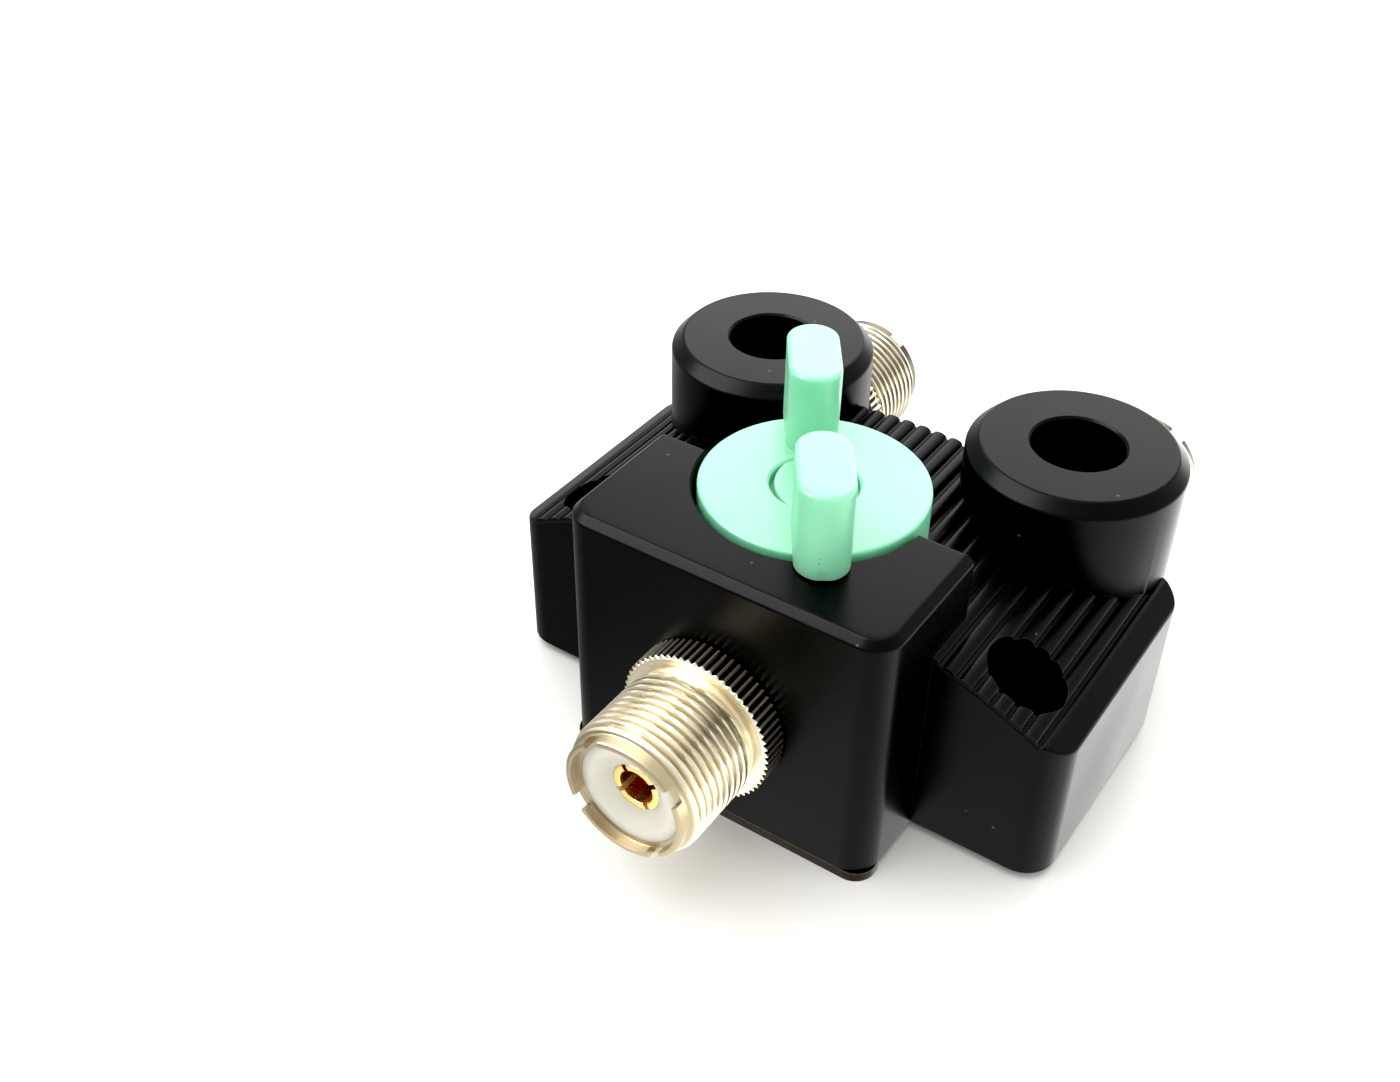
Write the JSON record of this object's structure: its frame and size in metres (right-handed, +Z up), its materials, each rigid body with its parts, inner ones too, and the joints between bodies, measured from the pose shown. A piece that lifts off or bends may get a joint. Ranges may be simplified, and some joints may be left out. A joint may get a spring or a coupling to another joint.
{
  "type": "coaxial antenna switch",
  "caption": "Black die-cast coaxial antenna switch with a ribbed arched base, round towers, threaded coaxial sockets and a jade selector knob with finger posts.",
  "frame": {"origin": "where the knob's axis meets the underside of the base plate", "axes": "+Z up along the knob's axis, -Y towards the common socket in front, +X to the right seen from the front"},
  "size_m": [0.0702, 0.0858, 0.0439],
  "materials": {
    "casting": "satin black",
    "plate": "dark bronze",
    "nickel": "nickel plated, turned",
    "gold": "gold plated",
    "ptfe": "waxy white",
    "jade": "moulded, satin",
    "steel": "bright",
    "brass": "turned",
    "silver": "silver plated"
  },
  "bodies": {
    "switch_body": {"housing": "casting", "base_plate": "plate", "base_screws": "steel", "front_socket_shell": "nickel", "front_socket_insulator": "ptfe", "front_socket_contact": "gold", "left_socket_shell": "nickel", "left_socket_insulator": "ptfe", "left_socket_contact": "gold", "right_socket_shell": "nickel", "right_socket_insulator": "ptfe", "right_socket_contact": "gold", "shaft_bush": "brass", "thrust_washer": "steel", "front_feed": "silver", "left_feed": "silver", "right_feed": "silver", "feed_posts": "ptfe", "detent_spring": "steel", "stop_pin": "steel"},
    "turning_parts": {"knob": "jade", "knob_cap": "jade", "knob_screw": "steel", "shaft": "steel", "retaining_clip": "steel", "rotor": "ptfe", "rotor_pin": "steel", "contact_blade": "silver", "blade_rivet": "brass"},
    "ball": {"detent_ball": "steel"}
  },
  "joints": [
    {"name": "knob_turn", "type": "hinge", "parent": "switch_body", "child": "turning_parts", "pos_m": [0, 0, 0.0272], "axis": [0, 0, 1], "range_deg": [-68, 0]},
    {"name": "ball_lift", "type": "slide", "parent": "switch_body", "child": "ball", "axis": [0, 0, 1], "range_m": [0, 0.00035], "deforming": ["detent_spring"]}
  ]
}
